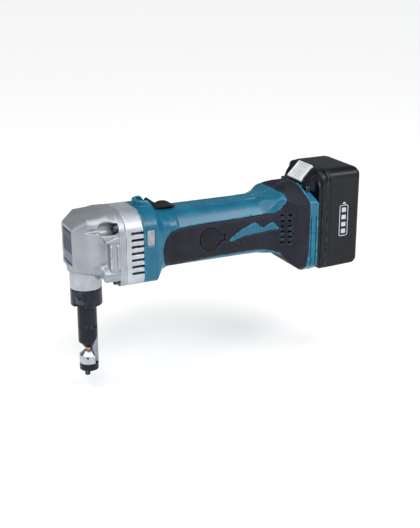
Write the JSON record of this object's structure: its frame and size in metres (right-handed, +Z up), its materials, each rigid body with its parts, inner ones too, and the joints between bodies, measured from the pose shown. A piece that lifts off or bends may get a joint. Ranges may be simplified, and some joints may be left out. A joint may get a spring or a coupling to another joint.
{
  "type": "nibbler tool",
  "caption": "Cordless metal nibbler: cast right-angle head with punch and turnable die holder, motor in a straight rubber-faced grip, and a slide-on battery.",
  "frame": {"origin": "on the punch axis, half way up the die holder's clamping round, between the lock nut and the thickness-gauge grooves", "axes": "+X from the head to the battery, +Y to the operator's right, +Z up along the punch, away from the die"},
  "size_m": [0.3195, 0.079, 0.1968],
  "materials": {
    "cast_aluminium": "satin cast",
    "cover_aluminium": "satin, lighter than the head",
    "machined_steel": "ground",
    "bright_steel": "bright turned",
    "black_steel": "black oxide, glossy",
    "teal_plastic": "satin moulded",
    "grip_rubber": "soft overmould",
    "black_plastic": "moulded",
    "battery_plastic": "semi-gloss moulded",
    "button_plastic": "light grey",
    "plate_ink": "printed plate, dark blue",
    "lamp_lens": "smoked lens",
    "copper": "copper",
    "brass": "stamped",
    "carbon": "carbon",
    "fan_plastic": "natural nylon",
    "dark_iron": "dark",
    "board": "circuit board",
    "wire": "insulated wire",
    "cell_wrap": "shrink sleeve"
  },
  "bodies": {
    "tool": {"gear_housing": "cast_aluminium", "nameplate": "plate_ink", "gear_cover": "cover_aluminium", "flange_bolts": "black_steel", "front_crank_bearing": "bright_steel", "rear_crank_bearing": "bright_steel", "nose_sleeve": "machined_steel", "front_motor_bearing": "bright_steel", "rear_motor_bearing": "bright_steel", "stator_yoke": "dark_iron", "stator_magnets": "dark_iron", "baffle_plate": "black_plastic", "left_brush_holder": "brass", "right_brush_holder": "brass", "brush_caps": "black_plastic", "left_brush_cover": "black_plastic", "right_brush_cover": "black_plastic", "left_housing": "teal_plastic", "right_housing": "teal_plastic", "left_grip": "grip_rubber", "right_grip": "grip_rubber", "housing_screws": "machined_steel", "left_lamp": "lamp_lens", "right_lamp": "lamp_lens", "switch_unit": "black_plastic", "control_board": "board", "terminal_block": "black_plastic", "lead_wires": "wire"},
    "armature": {"armature_shaft": "machined_steel", "armature_core": "dark_iron", "armature_windings": "copper", "commutator": "copper", "fan": "fan_plastic"},
    "crank": {"crankshaft": "machined_steel", "crank_gear": "machined_steel"},
    "rod": {"connecting_rod": "machined_steel"},
    "ram": {"ram": "machined_steel", "wrist_pin": "machined_steel", "punch": "copper"},
    "die_head": {"die_holder": "black_steel", "die": "bright_steel", "die_bolts": "black_steel"},
    "lock_nut": {"lock_nut": "black_steel"},
    "slide_switch": {"switch_knob": "black_plastic", "switch_rod": "black_plastic"},
    "battery": {"battery_case": "battery_plastic", "battery_cover": "battery_plastic", "battery_cells": "cell_wrap", "battery_contacts": "brass", "battery_screws": "machined_steel"},
    "battery_release": {"release_button": "button_plastic", "battery_latch": "black_plastic", "release_spring": "machined_steel"},
    "left_brush": {"left_brush": "carbon", "left_brush_spring": "machined_steel"},
    "right_brush": {"right_brush": "carbon", "right_brush_spring": "machined_steel"}
  },
  "joints": [
    {"name": "motor_spin", "type": "hinge", "parent": "tool", "child": "armature", "pos_m": [0.09, 0, 0.0715], "axis": [1, 0, 0], "continuous": true},
    {"name": "crank_spin", "type": "hinge", "parent": "tool", "child": "crank", "pos_m": [0.02, 0, 0.0886], "axis": [1, 0, 0], "continuous": true},
    {"name": "rod_swing", "type": "hinge", "parent": "crank", "child": "rod", "pos_m": [0, 0, 0.0854], "axis": [1, 0, 0], "continuous": true},
    {"name": "punch_stroke", "type": "slide", "parent": "tool", "child": "ram", "axis": [0, 0, 1], "range_m": [0, 0.0064]},
    {"name": "die_holder_turn", "type": "hinge", "parent": "tool", "child": "die_head", "pos_m": [0, 0, 0], "axis": [0, 0, 1], "continuous": true},
    {"name": "lock_nut_turn", "type": "hinge", "parent": "tool", "child": "lock_nut", "pos_m": [0, 0, 0.0195], "axis": [0, 0, 1], "continuous": true},
    {"name": "switch_slide", "type": "slide", "parent": "tool", "child": "slide_switch", "axis": [-1, 0, 0], "range_m": [0, 0.007]},
    {"name": "battery_slide", "type": "slide", "parent": "tool", "child": "battery", "axis": [0, 0, 1], "range_m": [0, 0.1]},
    {"name": "battery_release_press", "type": "slide", "parent": "battery", "child": "battery_release", "axis": [0.7071, 0, -0.7071], "range_m": [0, 0.003], "stiffness_N_per_m": 900, "springref_m": -0.003, "deforming": ["release_spring"]},
    {"name": "left_brush_slide", "type": "slide", "parent": "tool", "child": "left_brush", "axis": [0, -1, 0], "range_m": [0, 0.003], "stiffness_N_per_m": 300, "springref_m": -0.004, "deforming": ["left_brush_spring"]},
    {"name": "right_brush_slide", "type": "slide", "parent": "tool", "child": "right_brush", "axis": [0, 1, 0], "range_m": [0, 0.003], "stiffness_N_per_m": 300, "springref_m": -0.004, "deforming": ["right_brush_spring"]}
  ],
  "couplings": [
    {"joint": "crank_spin", "follows": "motor_spin", "ratio": -0.16327},
    {"joint": "rod_swing", "follows": "motor_spin", "ratio": 0.16327}
  ]
}
